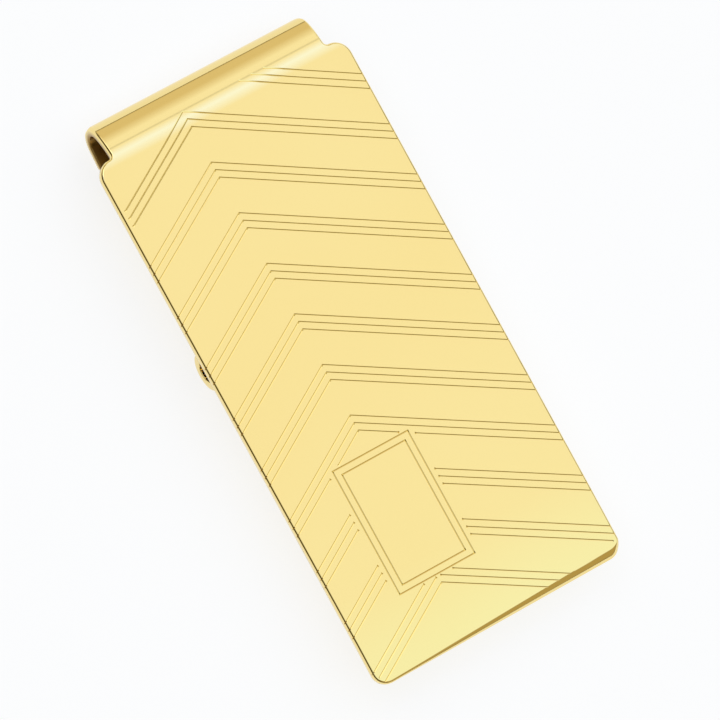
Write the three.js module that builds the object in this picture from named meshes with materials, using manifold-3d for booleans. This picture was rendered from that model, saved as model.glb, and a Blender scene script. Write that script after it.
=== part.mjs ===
// Hinged money clip: an engraved face plate rolled into a hinge channel at one end,
// and a sprung rear flap with a rolled lip that snaps shut behind the plate.
// Millimetres. X runs across the clip, Y along it towards the hinge, Z out of the front face.
// The origin is the centre of the clip's footprint, on the plane it lies on.

import * as THREE from 'three';
import { mergeVertices } from 'three/addons/utils/BufferGeometryUtils.js';
import Module from 'manifold-3d';

const wasm = await Module();
wasm.setup();

// ---------------------------------------------------------------- driving dimensions

// Face plate
const PLATE_WIDTH = 25.2;
const OVERALL_LENGTH = 53.1;          // bottom edge to the channel's crown
const PLATE_SHEET = 0.8;
const BOTTOM_CORNER_RADIUS = 1.3;
const SHOULDER_CORNER_RADIUS = 1.5;
const SHOULDER_DROP = 3.35;           // crown down to the shoulders beside the channel
const NOTCH_FILLET = 0.35;

// Hinge channel, rolled from the same sheet
const CHANNEL_LENGTH = 21.6;
const CHANNEL_CORNER_RADIUS = 0.45;
const CHANNEL_LEAN = 31;              // degrees the front wall leans back before the crown
const LEAN_RADIUS = 6.0;              // of the sheet's middle layer
const CROWN_RADIUS = 1.6;             // of the sheet's middle layer
const BACK_WALL_FLARE = 9;            // degrees the back wall spreads from the plate
const BACK_WALL_DROP = 3.8;           // crown down to the back wall's edge

// Hinge
const PIN_RADIUS = 0.4;
const PIN_CLEARANCE = 0.06;
const PIN_DROP = 3.6;                 // crown down to the pin's axis
const KNUCKLE_LENGTH = 16.0;
const KNUCKLE_WRAP = 270;             // degrees of sheet round the pin
const CAM_RELIEF = 0.24;              // depth of the two cam flats
const CHEEK_THICKNESS = 1.1;
const CHEEK_SIDE_GAP = 0.2;           // knuckle to cheek
const CHEEK_WALL_GAP = 0.12;          // solder line between cheek and channel
const PIN_END_INSET = 0.15;           // pin end below the cheek's outer face

// Leaf spring
const SPRING_LENGTH = 15.0;
const SPRING_WIDTH = 1.3;
const SPRING_STRIP = 0.25;
const SPRING_GAP = 0.3;               // to the cam flat and to the crown

// Rear flap
const FLAP_WIDTH = 23.4;
const FLAP_SHEET = 0.8;
const FLAP_REACH = 19.2;              // pin's axis to the lip's centre
const FLAP_SHOULDER_GAP = 0.17;       // cheeks' round feet to where the flap widens
const FLAP_CORNER_RADIUS = 1.2;
const TONGUE_FILLET = 0.4;
const BOW_GAP = 1.3;                  // plate's back to the middle of the flap
const LIP_GAP = 0.65;                 // plate's back to the lip
const LIP_RADIUS = 1.75;
const LIP_WRAP = 290;                 // degrees of the rolled lip

// Facets
const BEND_STEP = 9;                  // degrees of each facet in a bend
const GLIDE_STEPS = 10;
const CORNER_SEGMENTS = 8;
const ARC_SEGMENTS = 10;
const PIN_SIDES = 24;

const BLANK_MARGIN = 0.5;             // how far a cutting shape runs past what it cuts

// ---------------------------------------------------------------- places worked out from them

const SHOULDER_Y = OVERALL_LENGTH - SHOULDER_DROP;
const BACK_WALL_Y = OVERALL_LENGTH - BACK_WALL_DROP;
const PLATE_BACK_Z = -PLATE_SHEET;
const HALF_SHEET = PLATE_SHEET / 2;
const lean = THREE.MathUtils.degToRad(CHANNEL_LEAN);
const flare = THREE.MathUtils.degToRad(BACK_WALL_FLARE);
const crownAngle = Math.PI - lean - flare;

// The lean starts as far below the crown as the two bends take up.
const LEAN_START_Y = OVERALL_LENGTH - HALF_SHEET
  - LEAN_RADIUS * Math.sin(lean)
  - CROWN_RADIUS * (1 - Math.sin(lean));

const KNUCKLE_RADIUS = PIN_RADIUS + PIN_CLEARANCE + FLAP_SHEET;
const CAM_FLAT = KNUCKLE_RADIUS - CAM_RELIEF;
const PIN_Y = OVERALL_LENGTH - PIN_DROP;
const CHEEK_INNER_X = KNUCKLE_LENGTH / 2 + CHEEK_SIDE_GAP;
const CHEEK_OUTER_X = CHEEK_INNER_X + CHEEK_THICKNESS;

// ---------------------------------------------------------------- bent sheets

// The middle layer of a bent sheet, seen from its side: u runs along Y and v along Z.
// Each point keeps the direction that is square to the sheet, so that faces are offset from it.
class SheetPath {
  constructor(u, v, headingDegrees) {
    this.u = u;
    this.v = v;
    this.heading = THREE.MathUtils.degToRad(headingDegrees);
    this.points = [];
    this.mark();
  }

  mark() {
    const square = new THREE.Vector2(-Math.sin(this.heading), Math.cos(this.heading));
    this.points.push({ at: new THREE.Vector2(this.u, this.v), square });
  }

  straight(length) {
    this.u += length * Math.cos(this.heading);
    this.v += length * Math.sin(this.heading);
    this.mark();
    return this;
  }

  // A positive turn is anticlockwise.
  bend(radius, turn) {
    const steps = Math.ceil(Math.abs(turn) / THREE.MathUtils.degToRad(BEND_STEP));
    const side = Math.sign(turn);
    const centreU = this.u - side * radius * Math.sin(this.heading);
    const centreV = this.v + side * radius * Math.cos(this.heading);
    for (let step = 0; step < steps; step += 1) {
      this.heading += turn / steps;
      this.u = centreU + side * radius * Math.sin(this.heading);
      this.v = centreV - side * radius * Math.cos(this.heading);
      this.mark();
    }
    return this;
  }

  // A smooth S towards -Y that starts and ends parallel to the plate.
  glide(toU, toV, steps) {
    const fromU = this.u;
    const fromV = this.v;
    for (let step = 1; step <= steps; step += 1) {
      const t = step / steps;
      this.u = THREE.MathUtils.lerp(fromU, toU, t);
      this.v = THREE.MathUtils.lerp(fromV, toV, t * t * (3 - 2 * t));
      this.heading = Math.atan2((toV - fromV) * 6 * t * (1 - t), toU - fromU);
      this.mark();
    }
    return this;
  }

  // One face of the sheet, at a distance to the left of the middle layer.
  face(distance) {
    return this.points.map(({ at, square }) => at.clone().addScaledVector(square, distance));
  }

  outline(thickness) {
    const left = this.face(thickness / 2);
    const right = this.face(-thickness / 2);
    return new THREE.Shape([...left, ...right.reverse()]);
  }
}

// The plate's sheet from its bottom edge, over the crown, to the edge of the back wall.
function plateSheet(startY) {
  const path = new SheetPath(startY, -HALF_SHEET, 0);
  path.straight(LEAN_START_Y - startY);
  path.bend(LEAN_RADIUS, -lean);
  path.bend(CROWN_RADIUS, -crownAngle);
  path.straight((path.u - BACK_WALL_Y) / Math.cos(flare));
  return path;
}

// Where the inside of the channel's back wall is, at a height Y.
function channelBackZ(y) {
  const [high, low] = plateSheet(0).face(-HALF_SHEET).slice(-2);
  return THREE.MathUtils.mapLinear(y, high.x, low.x, high.y, low.y);
}

// The pin lies midway between the plate's back and the back wall.
const PIN_Z = (PLATE_BACK_Z + channelBackZ(PIN_Y)) / 2;
const CHEEK_FOOT_RADIUS = PLATE_BACK_Z - PIN_Z - CHEEK_WALL_GAP;
const FLAP_SHOULDER = CHEEK_FOOT_RADIUS + FLAP_SHOULDER_GAP;
const LIP_Y = PIN_Y - FLAP_REACH;
const LIP_Z = PLATE_BACK_Z - LIP_GAP - LIP_RADIUS;
const BED_Z = LIP_Z - LIP_RADIUS;

// The flap's sheet from the end of its knuckle, along the bowed arm, to the end of the lip.
function flapSheet() {
  const knuckle = KNUCKLE_RADIUS - FLAP_SHEET / 2;
  const lip = LIP_RADIUS - FLAP_SHEET / 2;
  const wrap = THREE.MathUtils.degToRad(KNUCKLE_WRAP);
  const path = new SheetPath(
    PIN_Y + knuckle * Math.sin(wrap),
    PIN_Z + knuckle * Math.cos(wrap),
    180 - KNUCKLE_WRAP,
  );
  path.bend(knuckle, wrap);
  path.straight(FLAP_SHOULDER);
  path.glide((path.u + LIP_Y) / 2, PLATE_BACK_Z - BOW_GAP - FLAP_SHEET / 2, GLIDE_STEPS);
  path.glide(LIP_Y, LIP_Z + lip, GLIDE_STEPS);
  path.bend(lip, THREE.MathUtils.degToRad(LIP_WRAP));
  return path;
}

// ---------------------------------------------------------------- outlines and solids

// A closed outline from corners [x, y, radius], listed in order.
function roundedOutline(corners) {
  const points = [];
  corners.forEach(([x, y, radius], index) => {
    const corner = new THREE.Vector2(x, y);
    if (radius === 0) {
      points.push(corner);
      return;
    }
    const [beforeX, beforeY] = corners.at(index - 1);
    const [afterX, afterY] = corners[(index + 1) % corners.length];
    const before = new THREE.Vector2(beforeX - x, beforeY - y).normalize();
    const after = new THREE.Vector2(afterX - x, afterY - y).normalize();
    const halfAngle = Math.acos(before.dot(after)) / 2;
    const setback = radius / Math.tan(halfAngle);
    const enter = corner.clone().addScaledVector(before, setback);
    const leave = corner.clone().addScaledVector(after, setback);
    const towardsCentre = before.clone().add(after).setLength(radius / Math.sin(halfAngle));
    const centre = corner.clone().add(towardsCentre);
    const arc = new THREE.ArcCurve(
      centre.x,
      centre.y,
      radius,
      enter.sub(centre).angle(),
      leave.sub(centre).angle(),
      before.cross(after) > 0,
    );
    points.push(...arc.getPoints(CORNER_SEGMENTS));
  });
  return new THREE.Shape(points);
}

function toSolid(geometry) {
  geometry.deleteAttribute('normal');
  geometry.deleteAttribute('uv');
  const merged = mergeVertices(geometry, 1e-5);
  return new wasm.Manifold(new wasm.Mesh({
    numProp: 3,
    vertProperties: Float32Array.from(merged.attributes.position.array),
    triVerts: Uint32Array.from(merged.index.array),
  }));
}

// Turns a side outline, drawn in Y and Z, to stand across the clip.
const acrossTheClip = new THREE.Matrix4().makeBasis(
  new THREE.Vector3(0, 1, 0),
  new THREE.Vector3(0, 0, 1),
  new THREE.Vector3(1, 0, 0),
);

// A side outline made solid across the clip, from one X to another.
function extrudeAcross(shape, fromX, toX) {
  const settings = { depth: toX - fromX, bevelEnabled: false, curveSegments: ARC_SEGMENTS };
  const geometry = new THREE.ExtrudeGeometry(shape, settings);
  return toSolid(geometry.applyMatrix4(acrossTheClip).translate(fromX, 0, 0));
}

// A front outline, drawn in X and Y, made solid from one Z to another.
function extrudeDeep(shape, fromZ, toZ) {
  const settings = { depth: toZ - fromZ, bevelEnabled: false, curveSegments: ARC_SEGMENTS };
  const geometry = new THREE.ExtrudeGeometry(shape, settings);
  return toSolid(geometry.translate(0, 0, fromZ));
}

function block(low, high) {
  const box = new THREE.Box3(new THREE.Vector3(...low), new THREE.Vector3(...high));
  const size = box.getSize(new THREE.Vector3());
  const middle = box.getCenter(new THREE.Vector3());
  return toSolid(new THREE.BoxGeometry(size.x, size.y, size.z).translate(middle.x, middle.y, middle.z));
}

// A round rod on the hinge's axis.
function hingeRod(radius, fromX, toX) {
  const geometry = new THREE.CylinderGeometry(radius, radius, toX - fromX, PIN_SIDES);
  return toSolid(geometry.rotateZ(Math.PI / 2).translate((fromX + toX) / 2, PIN_Y, PIN_Z));
}

// ---------------------------------------------------------------- pieces

function facePlate() {
  const halfWidth = PLATE_WIDTH / 2;
  const halfChannel = CHANNEL_LENGTH / 2;
  const sheet = extrudeAcross(plateSheet(-BLANK_MARGIN).outline(PLATE_SHEET), -PLATE_WIDTH, PLATE_WIDTH);
  const front = roundedOutline([
    [-halfWidth, 0, BOTTOM_CORNER_RADIUS],
    [halfWidth, 0, BOTTOM_CORNER_RADIUS],
    [halfWidth, SHOULDER_Y, SHOULDER_CORNER_RADIUS],
    [halfChannel, SHOULDER_Y, NOTCH_FILLET],
    [halfChannel, OVERALL_LENGTH, CHANNEL_CORNER_RADIUS],
    [-halfChannel, OVERALL_LENGTH, CHANNEL_CORNER_RADIUS],
    [-halfChannel, SHOULDER_Y, NOTCH_FILLET],
    [-halfWidth, SHOULDER_Y, SHOULDER_CORNER_RADIUS],
  ]);
  // Beside the channel nothing is left behind the flat plate, so the back wall is as long as the channel.
  const low = [halfChannel, 0, 2 * BED_Z];
  const high = [PLATE_WIDTH, OVERALL_LENGTH, PLATE_BACK_Z - BLANK_MARGIN];
  return sheet
    .intersect(extrudeDeep(front, 2 * BED_Z, BLANK_MARGIN))
    .subtract(block(low, high))
    .subtract(block([-high[0], low[1], low[2]], [-low[0], high[1], high[2]]));
}

function rearFlap() {
  const halfWidth = FLAP_WIDTH / 2;
  const halfKnuckle = KNUCKLE_LENGTH / 2;
  const shoulderY = PIN_Y - FLAP_SHOULDER;
  const topY = PIN_Y + 2 * KNUCKLE_RADIUS;
  const lipEndY = LIP_Y - 2 * LIP_RADIUS;
  const sheet = extrudeAcross(flapSheet().outline(FLAP_SHEET), -FLAP_WIDTH, FLAP_WIDTH);
  const front = roundedOutline([
    [-halfWidth, lipEndY, 0],
    [halfWidth, lipEndY, 0],
    [halfWidth, shoulderY, FLAP_CORNER_RADIUS],
    [halfKnuckle, shoulderY, TONGUE_FILLET],
    [halfKnuckle, topY, 0],
    [-halfKnuckle, topY, 0],
    [-halfKnuckle, shoulderY, TONGUE_FILLET],
    [-halfWidth, shoulderY, FLAP_CORNER_RADIUS],
  ]);
  // One cam flat faces the spring with the flap shut, and the other with it square to the plate.
  const reach = 2 * KNUCKLE_RADIUS;
  const shutFlat = block(
    [-halfWidth, PIN_Y + CAM_FLAT, PIN_Z - reach],
    [halfWidth, PIN_Y + reach, PIN_Z + reach],
  );
  const openFlat = block(
    [-halfWidth, PIN_Y - KNUCKLE_RADIUS, PIN_Z - reach],
    [halfWidth, PIN_Y + reach, PIN_Z - CAM_FLAT],
  );
  return sheet
    .intersect(extrudeDeep(front, 2 * BED_Z, BLANK_MARGIN))
    .subtract(shutFlat)
    .subtract(openFlat);
}

function hingePin() {
  const halfLength = CHEEK_OUTER_X - PIN_END_INSET;
  return hingeRod(PIN_RADIUS, -halfLength, halfLength);
}

// A small plate that fills the channel's section, with a round foot below the pin.
function pivotCheek(fromX, toX) {
  const wall = plateSheet(0).face(-HALF_SHEET - CHEEK_WALL_GAP).filter(({ x }) => x > PIN_Y);
  const section = new THREE.Shape(wall);
  section.absarc(PIN_Y, PIN_Z, CHEEK_FOOT_RADIUS, -Math.PI / 2, Math.PI / 2, true);
  const bore = hingeRod(PIN_RADIUS + PIN_CLEARANCE, fromX - BLANK_MARGIN, toX + BLANK_MARGIN);
  return extrudeAcross(section, fromX, toX).subtract(bore);
}

// A bowed strip: its middle sits over the cam flat and its two ends under the channel's crown.
function leafSpring() {
  const crownInside = CROWN_RADIUS - HALF_SHEET;
  const crownY = OVERALL_LENGTH - HALF_SHEET - CROWN_RADIUS;
  const roofY = crownY + Math.sqrt(crownInside ** 2 - (SPRING_WIDTH / 2) ** 2);
  const lowY = PIN_Y + CAM_FLAT + SPRING_GAP;
  const bow = roofY - SPRING_GAP - lowY - SPRING_STRIP;
  const innerRadius = ((SPRING_LENGTH / 2) ** 2 + bow ** 2) / (2 * bow);
  const spread = Math.asin(SPRING_LENGTH / 2 / innerRadius);
  const centreY = lowY + SPRING_STRIP + innerRadius;
  const down = -Math.PI / 2;
  const strip = new THREE.Shape();
  strip.absarc(0, centreY, innerRadius + SPRING_STRIP, down - spread, down + spread, false);
  strip.absarc(0, centreY, innerRadius, down + spread, down - spread, true);
  return extrudeDeep(strip, PIN_Z - SPRING_WIDTH / 2, PIN_Z + SPRING_WIDTH / 2);
}

// ---------------------------------------------------------------- assembly

const goldPlate = new THREE.MeshStandardMaterial({ color: 0xf3dc98, roughness: 0.16, metalness: 1 });
const brass = new THREE.MeshStandardMaterial({ color: 0xc9a352, roughness: 0.38, metalness: 1 });
const springSteel = new THREE.MeshStandardMaterial({ color: 0x9a9c9f, roughness: 0.3, metalness: 1 });

const clip = new THREE.Group();
clip.position.set(0, -OVERALL_LENGTH / 2, -BED_Z);

function addPiece(name, solid, material) {
  const { vertProperties, triVerts } = solid.getMesh();
  const geometry = new THREE.BufferGeometry();
  geometry.setAttribute('position', new THREE.BufferAttribute(vertProperties, 3));
  geometry.setIndex(new THREE.BufferAttribute(triVerts, 1));
  geometry.computeVertexNormals();
  const piece = new THREE.Mesh(geometry, material);
  piece.name = name;
  clip.add(piece);
}

addPiece('face_plate', facePlate(), goldPlate);
addPiece('rear_flap', rearFlap(), goldPlate);
addPiece('hinge_pin', hingePin(), springSteel);
addPiece('leaf_spring', leafSpring(), springSteel);
addPiece('left_pivot_cheek', pivotCheek(-CHEEK_OUTER_X, -CHEEK_INNER_X), brass);
addPiece('right_pivot_cheek', pivotCheek(CHEEK_INNER_X, CHEEK_OUTER_X), brass);

export default clip;
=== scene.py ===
"""A hinged money clip: an engraved face plate rolled into a hinge channel, a sprung rear flap
with a rolled lip, and the pin, pivot cheeks and leaf spring that join them.

Meshes are built in millimetres, first flat and then bent, and are brought to metres at the end.
"""

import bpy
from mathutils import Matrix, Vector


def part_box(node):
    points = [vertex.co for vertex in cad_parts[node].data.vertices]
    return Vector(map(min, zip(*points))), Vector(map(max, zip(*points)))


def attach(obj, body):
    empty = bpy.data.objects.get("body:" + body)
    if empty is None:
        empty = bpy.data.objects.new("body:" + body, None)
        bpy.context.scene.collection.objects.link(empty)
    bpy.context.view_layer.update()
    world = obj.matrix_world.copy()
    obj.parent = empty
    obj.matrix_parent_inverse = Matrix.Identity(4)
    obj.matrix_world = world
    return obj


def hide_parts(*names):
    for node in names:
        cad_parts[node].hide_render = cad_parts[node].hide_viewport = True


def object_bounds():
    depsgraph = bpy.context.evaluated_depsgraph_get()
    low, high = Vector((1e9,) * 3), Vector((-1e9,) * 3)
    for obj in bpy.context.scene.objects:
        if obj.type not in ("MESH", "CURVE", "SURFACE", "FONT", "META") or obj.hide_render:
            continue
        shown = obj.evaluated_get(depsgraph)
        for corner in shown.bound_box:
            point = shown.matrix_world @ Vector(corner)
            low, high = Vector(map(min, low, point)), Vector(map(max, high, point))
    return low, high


bl_info = {
    "name": "Money Clip",
    "version": (1, 0, 0),
    "blender": (4, 5, 0),
    "location": "3D View > Sidebar > Money Clip",
    "description": "Builds an engraved hinged money clip around its working frame",
    "category": "Add Mesh",
}

import bisect
import math
from types import SimpleNamespace

import bmesh
import bpy
from bpy.props import FloatProperty, FloatVectorProperty, IntProperty, PointerProperty
from mathutils import Matrix, Vector

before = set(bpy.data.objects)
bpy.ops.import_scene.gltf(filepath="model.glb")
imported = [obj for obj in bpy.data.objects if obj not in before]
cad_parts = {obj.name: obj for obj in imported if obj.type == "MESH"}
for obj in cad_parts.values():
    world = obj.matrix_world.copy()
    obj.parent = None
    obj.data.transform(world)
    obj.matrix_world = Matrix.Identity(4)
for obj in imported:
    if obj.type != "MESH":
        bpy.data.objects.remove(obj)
cad_low, cad_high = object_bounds()

MM = 0.001                      # metres in a millimetre

# Fineness of the meshes
BEND_STEP = math.radians(2.5)   # turn between two stations along a bend
LONG_STEP = 0.8                 # length between two stations along a gentle bend
GLIDE_STEPS = 36                # stations along each S of the flap
CORNER_STEPS = 12               # points round an outline's corner
ROD_SIDES = 96
ROUND_STEPS = 6                 # rings round an edge
DEEPEST_EDGE = 0.75             # share of a sheet's thickness that an edge's rounding may take
SHARP_ANGLE = math.radians(30)  # edges that turn more than this stay crisp
CAP_FLATNESS = 0.99999          # a face this square to the sheet is one of its two flat faces
CLOSE = 1e-6                    # two places this close are the same
OVERRUN = 2                     # how many cut widths a line runs past the plate
END_TAPER = 2.0                 # length of the channel's ends that is drawn in at the crown
DRILL_LENGTH = 10.0
DRILL_ROUND = 0.01


# ---------------------------------------------------------------- settings

def length(name, description, millimetres):
    """A length setting, stored in metres."""
    return FloatProperty(
        name=name, description=description, default=millimetres * MM, unit="LENGTH", precision=5
    )


def angle(name, description, degrees):
    """An angle setting, stored in radians."""
    return FloatProperty(
        name=name, description=description, default=math.radians(degrees), subtype="ANGLE"
    )


def share(name, description, default):
    """A setting from 0 to 1."""
    return FloatProperty(
        name=name, description=description, default=default, min=0, max=1, subtype="FACTOR"
    )


def colour(name, description, default):
    """A colour setting, in linear light."""
    return FloatVectorProperty(
        name=name, description=description, default=default, min=0, max=1, size=3, subtype="COLOR"
    )


class ClipPlateSettings(bpy.types.PropertyGroup):
    """Sizes of the face plate and its rolled channel"""

    sheet: length("Sheet", "Thickness of the plate's sheet", 0.8)
    bottom_corner: length("Bottom Corner", "Radius of the two bottom corners", 1.3)
    shoulder_corner: length("Shoulder Corner", "Radius of the shoulders beside the channel", 1.5)
    shoulder_drop: length("Shoulder Drop", "From the crown down to the shoulders", 3.35)
    notch_fillet: length("Notch Fillet", "Inside radius between shoulder and channel", 0.35)
    channel_length: length("Channel Length", "Length of the rolled channel", 21.6)
    channel_corner: length("Channel Corner", "Rounding of the channel's ends at the crown", 0.45)
    wall_corner: length("Wall Corner", "Radius of the back wall's two corners", 0.5)
    lean: angle("Lean", "How far the front wall leans back before the crown", 31)
    lean_radius: length("Lean Radius", "Bend from the plate into the channel", 6.0)
    crown_radius: length("Crown Radius", "Bend over the top of the channel", 1.6)
    flare: angle("Flare", "How far the back wall spreads from the plate", 9)
    wall_drop: length("Wall Drop", "From the crown down to the back wall's edge", 3.8)
    edge_round: length("Edge Round", "Size of the front edge's soft chamfer", 0.2)
    bottom_round: length("Bottom Round", "Width of the chamfer at the bottom edge's right end", 0.85)
    edge_flatness: share("Edge Flatness", "0 rounds the front edge and 1 chamfers it", 0.5)
    roll: angle("Roll", "How far polishing has rolled the bottom of the face down", 2.5)
    roll_length: length("Roll Length", "Length of that roll", 8.0)
    back_round: length("Back Round", "Rounding of the back edge", 0.12)


class ClipEngravingSettings(bpy.types.PropertyGroup):
    """The engraved chevrons and the cartouche, measured from the plate's lower left corner"""

    apex_x: length("Apex Line", "Where the chevrons turn, from the left edge", 9.3)
    first_apex: length("First Apex", "Height of the first chevron's apex", 50.4)
    group_pitch: length("Group Pitch", "Distance between groups of lines", 4.85)
    line_pitch: length("Line Pitch", "Distance between the lines of a group", 0.716)
    groups: IntProperty(name="Groups", description="Groups whose apex is on the plate", default=10)
    lines: IntProperty(name="Lines", description="Lines in a group", default=3)
    slope: angle("Slope", "How far the arms fall away from the width of the plate", 30)
    cut_width: length("Cut Width", "Width of a cut at the surface", 0.13)
    cut_depth: length("Cut Depth", "Depth of a cut", 0.042)
    dot_swell: FloatProperty(name="Dot Swell", description="Width of a cut's dot end", default=1.7)
    fade_swell: share("Fade Swell", "Width of a cut where it fades into the bend", 0.2)
    dot_length: length("Dot Length", "Length of a cut's dot end", 0.16)
    top_limit: length("Top Limit", "Height where the cuts run out into the bend", 50.5)
    short_end: length("Short End", "How far the first group stays from the left edge", 0.45)
    panel_x: length("Cartouche X", "Centre of the cartouche from the left edge", 9.32)
    panel_y: length("Cartouche Y", "Height of the cartouche's centre", 12.0)
    panel_width: length("Cartouche Width", "Width of the cartouche's outer line", 7.65)
    panel_height: length("Cartouche Height", "Height of the cartouche's outer line", 11.75)
    panel_inset: length("Cartouche Inset", "From the outer to the inner line", 0.613)
    side_gap: length("Side Gap", "Clear metal beside the cartouche", 0.45)
    end_gap: length("End Gap", "Clear metal above and below the cartouche", 0.2)


class ClipHingeSettings(bpy.types.PropertyGroup):
    """Sizes of the pin, the pivot cheeks and the leaf spring"""

    pin_clearance: length("Pin Clearance", "Room round the pin", 0.06)
    pin_chamfer: length("Pin Chamfer", "Rounding of the pin's ends", 0.12)
    wall_gap: length("Wall Gap", "Solder line between cheek and channel", 0.12)
    cheek_round: length("Cheek Round", "Rounding of the cheeks' edges", 0.1)
    spring_strip: length("Spring Strip", "Thickness of the leaf spring", 0.25)
    spring_gap: length("Spring Gap", "Room between spring, cam and crown", 0.3)
    spring_round: length("Spring Round", "Rounding of the spring's edges", 0.06)


class ClipFlapSettings(bpy.types.PropertyGroup):
    """Sizes of the rear flap"""

    sheet: length("Sheet", "Thickness of the flap's sheet", 0.8)
    knuckle_length: length("Knuckle Length", "Length of the knuckle round the pin", 16.0)
    knuckle_wrap: angle("Knuckle Wrap", "Sheet wrapped round the pin", 270)
    cam_relief: length("Cam Relief", "Depth of the knuckle's two cam flats", 0.24)
    shoulder: length("Shoulder", "From the pin to where the flap widens", 1.7)
    corner: length("Corner", "Radius of the flap's shoulders", 1.2)
    tongue_fillet: length("Tongue Fillet", "Inside radius beside the knuckle", 0.4)
    end_corner: length("End Corner", "Radius of the corners inside the lip", 0.3)
    bow_gap: length("Bow Gap", "From the plate's back to the middle of the flap", 1.3)
    lip_gap: length("Lip Gap", "From the plate's back to the lip", 0.65)
    lip_radius: length("Lip Radius", "Outer radius of the rolled lip", 1.75)
    lip_wrap: angle("Lip Wrap", "How far the lip is rolled", 290)
    reach: length("Reach", "From the pin to the lip's centre", 19.2)
    edge_round: length("Edge Round", "Rounding of the outer edge", 0.2)
    inner_round: length("Inner Round", "Rounding of the inner edge", 0.1)


class ClipFinishSettings(bpy.types.PropertyGroup):
    """Colours and polish"""

    gold: colour("Gold", "The gold plating", (0.905, 0.715, 0.29))
    pale_gold: colour("Pale Gold", "Plating where it is thinner", (0.915, 0.745, 0.33))
    gold_roughness: share("Gold Roughness", "Roughness of the polished plating", 0.07)
    # The inside colour is painted shade: dark brown for the shade that falls inside the channel.
    inside_gold: colour("Inside Painted Shade", "Unpolished plating inside the channel", (0.35, 0.22, 0.07))
    inside_roughness: share("Inside Roughness", "Roughness of the unpolished plating", 0.35)
    # The brass colour is darkened as painted shade of the channel's ends, where the cheeks sit.
    brass: colour("Brass", "The cheeks' tarnished brass", (0.25, 0.16, 0.06))
    brass_roughness: share("Brass Roughness", "Roughness of the brass", 0.45)
    steel: colour("Steel", "The pin and the spring", (0.60, 0.58, 0.55))
    steel_roughness: share("Steel Roughness", "Roughness of the steel", 0.24)


class ClipStageSettings(bpy.types.PropertyGroup):
    """Camera, floor and light"""

    camera_distance: length("Camera Distance", "From the camera to its aim", 704.5)
    camera_lens: FloatProperty(name="Lens", description="Focal length in millimetres", default=418.6)
    camera_tilt: angle("Camera Tilt", "How far the camera stands over to the left", 20.05)
    camera_nod: angle("Camera Nod", "How far the camera leans along the clip", -0.46)
    camera_roll: angle("Camera Roll", "Turn of the picture", 28.77)
    aim_x: length("Aim X", "Sideways aim", -0.16)
    aim_y: length("Aim Y", "Lengthways aim", -1.55)
    floor_size: length("Floor Size", "Width of the floor", 6000)
    floor_shade: share("Floor Shade", "How much of the studio's light the floor returns", 0.22)
    floor_glow: share("Floor Glow", "Light that comes up through the floor", 0.792)
    studio_light: FloatProperty(name="Studio Light", description="Brightness overhead", default=0.98)


SETTINGS = {
    "clip_plate": ClipPlateSettings,
    "clip_engraving": ClipEngravingSettings,
    "clip_hinge": ClipHingeSettings,
    "clip_flap": ClipFlapSettings,
    "clip_finish": ClipFinishSettings,
    "clip_stage": ClipStageSettings,
}


def in_millimetres(settings):
    """The settings as plain values, with lengths in millimetres."""
    sizes = SimpleNamespace()
    for prop in settings.bl_rna.properties:
        if prop.identifier in ("rna_type", "name"):
            continue
        value = getattr(settings, prop.identifier)
        if prop.type == "FLOAT" and prop.unit == "LENGTH":
            value /= MM
        setattr(sizes, prop.identifier, value)
    return sizes


def box_in_millimetres(node):
    """A frame node's lowest and highest corners."""
    low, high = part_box(node)
    return low / MM, high / MM


# ---------------------------------------------------------------- outlines

def rounded_outline(corners):
    """Points [x, y, outward normal] round an outline, from corners (x, y, radius), anticlockwise.

    At a square corner the normal is as long as a mitre needs.
    """
    points = []
    count = len(corners)
    for index, (x, y, radius) in enumerate(corners):
        corner = Vector((x, y))
        before = (Vector(corners[index - 1][:2]) - corner).normalized()
        after = (Vector(corners[(index + 1) % count][:2]) - corner).normalized()
        middle = (before + after).normalized()
        half_angle = math.acos(max(-1.0, min(1.0, before.dot(after)))) / 2
        outward = -1 if after.x * before.y - after.y * before.x > 0 else 1
        if radius == 0:
            points.append((corner, middle * outward / math.sin(half_angle)))
            continue
        centre = corner + middle * radius / math.sin(half_angle)
        start = (corner + before * radius / math.tan(half_angle) - centre).normalized()
        end = (corner + after * radius / math.tan(half_angle) - centre).normalized()
        turn = start.angle_signed(end)
        for step in range(CORNER_STEPS + 1):
            spoke = start.copy()
            spoke.rotate(Matrix.Rotation(-turn * step / CORNER_STEPS, 2))
            points.append((centre + spoke * radius, spoke * -outward))
    return points


def circle_outline(x, y, radius):
    """Points round a circle, anticlockwise."""
    points = []
    for side in range(ROD_SIDES):
        turn = math.tau * side / ROD_SIDES
        spoke = Vector((math.cos(turn), math.sin(turn)))
        points.append((Vector((x, y)) + spoke * radius, spoke))
    return points


def curve_outline(points):
    """Gives plain points, anticlockwise, the normals that their neighbours set."""
    outline = []
    for index, point in enumerate(points):
        before = (point - points[index - 1]).normalized()
        after = (points[(index + 1) % len(points)] - point).normalized()
        along = (before + after).normalized()
        mitre = max(along.dot(after), 0.5)
        outline.append((point, Vector((along.y, -along.x)) / mitre))
    return outline


def edge_profile(flatness):
    """Shares (inset, depth) of an edge's size, from its side up to its top."""
    profile = []
    for step in range(ROUND_STEPS + 1):
        part = step / ROUND_STEPS
        inset = 1 - math.cos(math.pi / 2 * part)
        depth = 1 - math.sin(math.pi / 2 * part)
        profile.append((inset + (part - inset) * flatness, depth + (1 - part - depth) * flatness))
    return profile


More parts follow.
